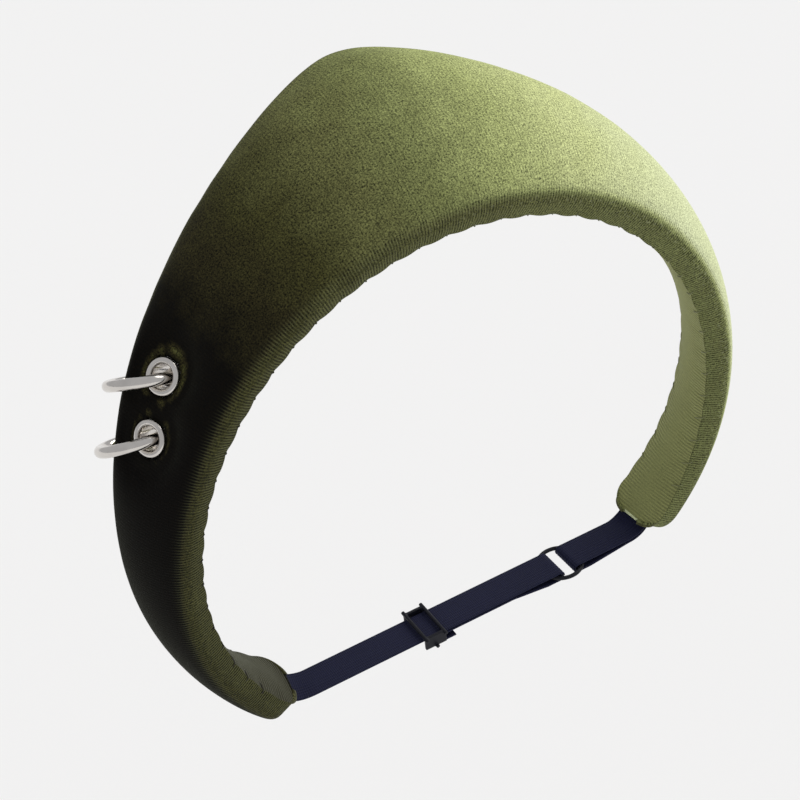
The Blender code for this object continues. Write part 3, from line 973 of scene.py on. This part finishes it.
def washer_profile():
    inside = BORE + WALL + GAP
    high = -EDGE_THICKNESS - GAP
    low = high - WASHER
    edge = WASHER_EDGE
    soft = WASHER_SOFTNESS
    return [
        (inside, high - soft),
        (inside, low + soft),
        (inside + soft, low),
        (edge - soft, low),
        (edge, low + soft),
        (edge, high - soft),
        (edge - soft, high),
        (inside + soft, high),
    ]


def packed_points(node):
    return coordinates(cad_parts[node].data)


OFF_AXIS = (0.3, 0.5, 0.8)


def torus(name, node, wire_sides, steps, look):
    """A torus laid on a packed ring, with the radii read from that ring's points."""
    points = packed_points(node)
    centre = points.mean(0)
    axis = np.linalg.svd(points - centre, full_matrices=False)[2][2]
    height = (points - centre) @ axis
    flat = np.linalg.norm(points - centre - np.outer(height, axis), axis=1)
    wire = (flat.max() - flat.min()) / 2
    radius = flat.min() + wire
    first = unit(np.cross(axis, OFF_AXIS))
    second = np.cross(axis, first)
    angles = (np.arange(steps) * TURN / steps)[:, None, None]
    sides = (np.arange(wire_sides) * TURN / wire_sides)[None, :, None]
    outward = first * np.cos(angles) + second * np.sin(angles)
    grid = centre + outward * (radius + wire * np.cos(sides)) + axis * wire * np.sin(sides)
    mesh = mesh_of_grid(name, grid)
    mesh.materials.append(look)
    print(name, "radius", round(radius * 1000, 2), "mm, wire", round(wire * 2000, 2), "mm")
    return add_object(name, mesh)


for name, along in EYELETS.items():
    where = eyelet_frame(along)
    rim = turned("eyelet_rim_" + name, eyelet_profile(), where, steel)
    disc = turned("washer_disc_" + name, washer_profile(), where, steel)
    hoop = torus("hoop_" + name, "ring_" + name, 28, 120, steel)
    for piece, node, body in (
        (rim, "eyelet_", "band"),
        (disc, "washer_", "band"),
        (hoop, "ring_", "ring_" + name),
    ):
        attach(piece, body)
        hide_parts(node + name)

# %% [markdown]
# ## Elastic tape
#
# The strap is a woven elastic tape: fine cords run along it, wrapped in thread that crosses
# them, and both edges are a little thicker. It is swept as a flat section with the cords in
# its shape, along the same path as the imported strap.

# %% Elastic look
WEFT_PITCH = 0.00055
CORD_PITCH = 0.00090


def elastic_look():
    look = Look(
        "elastic_tape",
        Specular_IOR_Level=0.25,
        Sheen_Weight=0.10,
        Sheen_Roughness=0.4,
        Sheen_Tint=(0.5, 0.55, 0.9),
    )
    along, across, _ = look.stored("cloth")
    weft = (along * (TURN / WEFT_PITCH)).sine()
    cords = (across * (TURN / CORD_PITCH)).sine()
    fuzz = look.noise(look.position(), 0.00035, 2.0, 0.6) - 0.5
    patch = look.noise(look.position(), 0.012, 2.0)
    color = look.mix(patch, (0.0058, 0.0072, 0.0290), (0.0084, 0.0102, 0.0390))
    thread = 1.0 + weft * 0.12 + cords * 0.10 + fuzz * 0.8
    color = look.mix(1.0, color, look.point(thread, thread, thread), "MULTIPLY")
    height = weft * 0.4 + cords * 0.3 + fuzz * 0.5
    return look.finished(color, 0.78 + fuzz * 0.2, height, 0.00010, 0.7)


elastic = elastic_look()

# %% Strap path
ELASTIC = 0.0007
ELASTIC_WIDTH = 0.0100
LAYER = ELASTIC + GAP
STRAP_BACK = 0.0085
STRAP_DROP = 0.0015
STRAP_IN_TIP = 0.0100
STRAP_OUT = 0.0019
BEND_LENGTH = 0.0070
SLIDER_X = -0.0145
SLIDER_BAR = 0.00055
STRAP_RING_X = 0.0310
STRAP_RING_RADIUS = 0.0064
STRAP_RING_WIRE = 0.0006
FOLD_RADIUS = STRAP_RING_WIRE + GAP + ELASTIC / 2
FOLD_TO_RING = 0.0031
RETURN_RISE = 0.0160
RETURN_TO_BAR = 0.0040
RETURN_END = 0.0070
STRAP_LEVEL = float(place(1.0, width_at(1.0) / 2, STRAP_OUT)[2]) - STRAP_DROP
Y_AXIS = np.array([0.0, 1.0, 0.0])


def hermite(start, start_pull, end, end_pull, share):
    a = 2 * share**3 - 3 * share**2 + 1
    b = share**3 - 2 * share**2 + share
    c = -2 * share**3 + 3 * share**2
    d = share**3 - share**2
    return start * a + start_pull * b + end * c + end_pull * d


def flat_point(x, below):
    return np.array([x, STRAP_BACK, STRAP_LEVEL - below]), Y_AXIS


def tip_run(hand, layers_out):
    """Stations from inside a tip to the straight run behind the neck."""
    run = []
    middle = width_at(1.0) / 2
    out_by = STRAP_OUT + layers_out * LAYER
    for step in range(4):
        along = hand * (1 - STRAP_IN_TIP / EDGE_LENGTH * (1 - step / 3))
        run.append((place(along, middle, out_by), axes_at(along)[2]))
    leaves, side = run[-1]
    leaving = axes_at(float(hand))[1] * hand
    level = STRAP_LEVEL - layers_out * LAYER
    end = np.array([leaves[0] - hand * BEND_LENGTH, STRAP_BACK, level])
    reach = np.linalg.norm(end - leaves)
    inward = np.array([-hand, 0.0, 0.0])
    for step in range(1, 7):
        share = step / 6
        point = hermite(leaves, leaving * reach, end, inward * reach, share)
        run.append((point, unit(side + (Y_AXIS - side) * smooth_step(share, 0, 1))))
    return run


def fold(x, hand):
    """Half turn of the tape round the ring's wire, from the top layer down."""
    turn = []
    for step in range(9):
        angle = radians(90 - 180 * step / 8)
        below = FOLD_RADIUS * (1 - sin(angle))
        turn.append(flat_point(x + hand * FOLD_RADIUS * cos(angle), below))
    return turn


def under_ring(hand):
    clear = STRAP_RING_RADIUS + STRAP_RING_WIRE + GAP
    return flat_point(STRAP_RING_X + hand * clear, 2 * FOLD_RADIUS)


def main_stations():
    return tip_run(-1, 0) + fold(STRAP_RING_X - FOLD_TO_RING, 1)[:5]


def return_stations():
    fold_x = STRAP_RING_X - FOLD_TO_RING
    radius = SLIDER_BAR + GAP + ELASTIC / 2
    bar_below = LAYER + radius
    stations = fold(fold_x, 1)[5:]
    stations.append(under_ring(-1))
    stations.append(flat_point(fold_x - RETURN_RISE, LAYER))
    stations.append(flat_point(SLIDER_X + RETURN_TO_BAR, LAYER))
    for step in range(9):
        angle = radians(90 + 180 * step / 8)
        below = bar_below - radius * sin(angle)
        stations.append(flat_point(SLIDER_X + radius * cos(angle), below))
    stations.append(flat_point(SLIDER_X + RETURN_END, bar_below + radius))
    return stations


def loop_stations():
    fold_x = STRAP_RING_X + FOLD_TO_RING
    return tip_run(1, 0) + fold(fold_x, -1) + [under_ring(1)] + list(reversed(tip_run(1, 1)))


print("strap level", round(STRAP_LEVEL, 5))

# %% Sweep the tape
CORDS = 9
CORD_HEIGHT = 0.000045
STATION_GAP = 0.0015
TAPE_STEP = 0.0004


def resampled(stations, spacing):
    """Stations joined by a smooth line, evenly spaced, with their sideways directions."""
    values = np.array([np.concatenate(pair) for pair in stations])
    dense = [values[0]]
    for one, two in zip(values, values[1:]):
        pieces = max(1, ceil(np.linalg.norm(two[:3] - one[:3]) / STATION_GAP))
        dense += [one + (two - one) * step / pieces for step in range(1, pieces + 1)]
    dense = np.array(dense)
    at = np.concatenate([[0], np.cumsum(np.linalg.norm(np.diff(dense[:, :3], axis=0), axis=1))])
    slope = np.gradient(dense, at, axis=0)
    new = np.linspace(0, at[-1], ceil(at[-1] / spacing) + 1)
    index = np.clip(np.searchsorted(at, new, side="right") - 1, 0, len(at) - 2)
    gap = (at[index + 1] - at[index])[:, None]
    share = (new - at[index])[:, None] / gap
    pull, next_pull = slope[index] * gap, slope[index + 1] * gap
    line = hermite(dense[index], pull, dense[index + 1], next_pull, share)
    return line[:, :3], unit(line[:, 3:]), new


def tape_section():
    """Points round the flat section: across and up, with a ridge for each cord."""
    half = ELASTIC_WIDTH / 2 - ELASTIC / 2
    across = np.linspace(-half, half, 4 * CORDS + 1)
    ridge = CORD_HEIGHT * np.cos(np.linspace(0, CORDS * TURN, len(across)))
    thick = ELASTIC / 2 - CORD_HEIGHT
    top = np.stack([across, thick + ridge], 1)
    ends = np.linspace(pi / 2, -pi / 2, 7)[1:-1]
    bulge = np.stack([half + ELASTIC / 2 * np.cos(ends), ELASTIC / 2 * np.sin(ends)], 1)
    below = np.stack([across[::-1], -thick - ridge], 1)
    return np.concatenate([top, bulge, below, -bulge])


def tape(name, stations, look):
    line, side, length = resampled(stations, TAPE_STEP)
    ahead = unit(np.gradient(line, axis=0))
    side = unit(side - ahead * (side * ahead).sum(1, keepdims=True))
    up = np.cross(ahead, side)
    section = tape_section()
    grid = line[:, None] + side[:, None] * section[:, :1] + up[:, None] * section[:, 1:]
    mesh = mesh_of_grid(name, grid, closed_rows=False)
    count = len(section)
    build = opened(mesh)
    verts = list(build.verts)
    build.faces.new(verts[:count])
    build.faces.new(verts[-count:])
    bmesh.ops.recalc_face_normals(build, faces=build.faces)
    closed_into(build, mesh)
    cloth = np.zeros((len(grid), count, 3))
    cloth[..., 0] = length[:, None]
    cloth[..., 1] = section[:, 0]
    stored = mesh.attributes.new("cloth", "FLOAT_VECTOR", "POINT")
    stored.data.foreach_set("vector", cloth.ravel())
    mesh.shade_smooth()
    mesh.set_sharp_from_angle(angle=radians(60))
    mesh.materials.append(look)
    print(name, "is", round(float(length[-1]) * 1000, 1), "mm long")
    return add_object(name, mesh)


main_tape = tape("tape_main", main_stations(), elastic)
return_tape = tape("tape_return", return_stations(), elastic)
loop_tape = tape("tape_loop", loop_stations(), elastic)
for piece, node in (
    (main_tape, "strap_main"),
    (loop_tape, "strap_loop"),
    (return_tape, "strap_return"),
):
    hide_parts(node)
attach(main_tape, "band")
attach(loop_tape, "band")
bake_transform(return_tape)

# %% [markdown]
# ## Slider and strap ring
#
# The slider is moulded in one piece: two side plates and three bars. Boxes and cylinders laid
# together are fused by a voxel remesh and smoothed, which gives the soft inner corners of a
# moulding. The ring that joins the two tapes is a torus of thin wire coated black.


# %% Black plastic look
def plastic_look():
    look = Look("moulded_black", Specular_IOR_Level=0.25)
    cloud = look.noise(look.position(), 0.0020, 3.0)
    grain = look.noise(look.position(), 0.00012, 2.0) - 0.5
    color = look.mix(cloud, (0.0030, 0.0034, 0.0080), (0.0060, 0.0066, 0.0130))
    return look.finished(color, 0.42 + cloud * 0.16, grain + cloud * 0.4, 0.00003, 0.5)


black = plastic_look()

# %% Slider piece
SLIDER_REACH = 0.0029
SLIDER_RAIL = 0.0009
SLIDER_LIP = 0.0004
SLIDER_BAR_LENGTH = 0.0142
SLIDER_VOXEL = 0.00014


def slider_piece(name, look):
    low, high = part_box("slider")
    middle = (low + high) / 2
    bar_above = ELASTIC / 2 + GAP + SLIDER_BAR
    bar_below = LAYER + SLIDER_BAR + GAP + ELASTIC / 2
    build = bmesh.new()
    plate_y = ELASTIC_WIDTH / 2 + GAP + SLIDER_RAIL / 2
    tall = bar_above + bar_below + 2 * SLIDER_LIP
    size = Vector((2 * (SLIDER_REACH + SLIDER_LIP), SLIDER_RAIL, tall))
    for hand in (-1, 1):
        where = Matrix.Translation((middle.x, middle.y + hand * plate_y, middle.z))
        bmesh.ops.create_cube(build, size=1, matrix=where @ Matrix.Diagonal((*size, 1)))
    lying = Matrix.Rotation(pi / 2, 4, "X")
    for x, z in ((-SLIDER_REACH, bar_above), (SLIDER_REACH, bar_above), (0, -bar_below)):
        where = Matrix.Translation((middle.x + x, middle.y, STRAP_LEVEL + z))
        bmesh.ops.create_cone(
            build,
            cap_ends=True,
            segments=32,
            radius1=SLIDER_BAR,
            radius2=SLIDER_BAR,
            depth=SLIDER_BAR_LENGTH,
            matrix=where @ lying,
        )
    piece = add_object(name, closed_into(build, bpy.data.meshes.new(name)))
    fuse = piece.modifiers.new("fuse", "REMESH")
    fuse.mode = "VOXEL"
    fuse.voxel_size = SLIDER_VOXEL
    fuse.use_smooth_shade = True
    soften = piece.modifiers.new("soften", "SMOOTH")
    soften.factor = 0.5
    soften.iterations = 4
    applied(piece)
    piece.data.materials.append(look)
    return piece


slider = slider_piece("slider_frame", black)
strap_ring = torus("strap_hoop", "strap_ring", 20, 96, black)
for piece, node in ((slider, "slider"), (strap_ring, "strap_ring")):
    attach(piece, node)
    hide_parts(node)

# %% [markdown]
# ## Hand stitches
#
# The velvet's edge is whipped to the lining by hand, a slanting stitch every 7.5 mm. Each one
# is a short length of thread over the seam, so it is laid on the finished cloth: its
# points are drawn in the band's coordinates and then pulled to the nearest place on the cloth.


# %% Thread look
# Thread colours ramped by the lining's painted light and shade, dark on the wearer's right and
# pale on the left.
THREAD_PAINTED_LIGHT_STOPS = [
    (0.0, (0.020, 0.018, 0.009)),
    (0.5, (0.090, 0.095, 0.040)),
    (1.0, (0.200, 0.210, 0.090)),
]


def thread_look():
    look = Look("sewing_thread", Specular_IOR_Level=0.3, Sheen_Weight=0.2)
    ply = look.noise(look.position(), 0.00025, 2.0) - 0.5
    nap_painted_light = look.stored("cloth")[2]
    color = look.ramp(nap_painted_light + ply * 0.1, THREAD_PAINTED_LIGHT_STOPS)
    return look.finished(color, 0.7 + ply * 0.2, ply, 0.00008, 0.7)


thread = thread_look()

# %% Stitch pieces
THREAD_RADIUS = 0.00014
STITCH_SLANT = 0.0016
STITCH_SIDES = 8
STITCH_POINTS = 9
STITCH_UP = 0.0016
STITCH_LENGTH = 0.0040
STITCH_SINK = 0.0002
STITCH_LIFT = 1.1
OFF_PATH = (0.31, 0.83, 0.46)


def surface_of(*pieces):
    graph = bpy.context.evaluated_depsgraph_get()
    return [BVHTree.FromObject(piece, graph) for piece in pieces]


def on_surface(trees, point, lift):
    hits = [tree.find_nearest(Vector(point)) for tree in trees]
    found, normal, _, _ = min(hits, key=lambda hit: hit[3])
    return np.array(found + normal * lift)


def stitch_path(trees, along, at_back):
    """Down the wall, over the seam and onto the lining, leaning along the band."""
    width = float(width_at(along))
    path = []
    for share in np.linspace(0, 1, STITCH_POINTS):
        reach = STITCH_LENGTH * share - STITCH_UP
        lean = along + STITCH_SLANT * (share - 0.5) / EDGE_LENGTH
        inward = max(reach, 0.0)
        back = width - inward if at_back else inward
        height = max(-reach, 0.0) - STITCH_SINK
        lift = THREAD_RADIUS * STITCH_LIFT * (1 - 2 * abs(2 * share - 1) ** 3)
        path.append(on_surface(trees, place(lean, back, height), lift))
    return np.array(path)


def tube(path, radius, sides):
    ahead = unit(np.gradient(path, axis=0))
    first = unit(np.cross(ahead, OFF_PATH))[:, None]
    second = np.cross(ahead[:, None], first)
    angles = (np.arange(sides) * TURN / sides)[None, :, None]
    return path[:, None] + (first * np.cos(angles) + second * np.sin(angles)) * radius


def stitches(name, at_back, trees, look):
    build = bmesh.new()
    kept = build.verts.layers.float_vector.new("cloth")
    count = int((1 - 2 * TIP_ROUND / EDGE_LENGTH) * EDGE_LENGTH / STITCH)
    for index in range(-count, count + 1):
        along = index * STITCH / EDGE_LENGTH
        shape = tube(stitch_path(trees, along, at_back), THREAD_RADIUS, STITCH_SIDES)
        rows = [[build.verts.new(point) for point in row] for row in shape]
        for row in rows:
            for vert in row:
                # Each stitch carries the lining's painted light and shade for its colour.
                vert[kept] = (0, 0, float(lining_painted_light(along)))
        for one, two in zip(rows, rows[1:]):
            for a, b, c, d in zip(one, one[1:] + one[:1], two[1:] + two[:1], two):
                build.faces.new((a, b, c, d))
        build.faces.new(rows[0])
        build.faces.new(rows[-1])
    bmesh.ops.recalc_face_normals(build, faces=build.faces)
    mesh = closed_into(build, bpy.data.meshes.new(name))
    mesh.shade_smooth()
    mesh.materials.append(look)
    print(name, 2 * count + 1, "stitches")
    return add_object(name, mesh)


cloth_trees = surface_of(velvet_piece, lining_piece)
for name, node, at_back in (
    ("stitches_front", "seam_thread_front", False),
    ("stitches_back", "seam_thread_back", True),
):
    piece = stitches(name, at_back, cloth_trees, thread)
    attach(piece, "band")
    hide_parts(node)

# %% [markdown]
# ## What stays as packed
#
# The plastic band inside the foam and the two bars of stitches inside the tips are hidden by
# the velvet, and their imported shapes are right, so they stay and only get their materials.


# %% Hidden pieces and the floor's finish
def base_look():
    look = Look("base_band_plastic", Specular_IOR_Level=0.4)
    cloud = look.noise(look.position(), 0.006, 3.0)
    color = look.mix(cloud, (0.70, 0.70, 0.67), (0.82, 0.82, 0.79))
    return look.finished(color, 0.45 + cloud * 0.15, cloud, 0.0001, 0.3)


def floor_look():
    look = Look("studio_floor", Specular_IOR_Level=0.1)
    cloud = look.noise(look.position(), 0.6, 2.0)
    darker = tuple(value * 0.985 for value in FLOOR_COLOR)
    look.paint(Base_Color=look.mix(cloud, darker, FLOOR_COLOR), Roughness=0.9 + cloud * 0.05)
    return look.material


def wear(node, look):
    """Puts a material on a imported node's own slots."""
    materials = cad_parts[node].data.materials
    if not materials:
        materials.append(look)
    for index in range(len(materials)):
        materials[index] = look


wear("base_band", base_look())
for node in ("strap_tack_right", "strap_tack_left"):
    wear(node, thread)
ground.data.materials.append(floor_look())
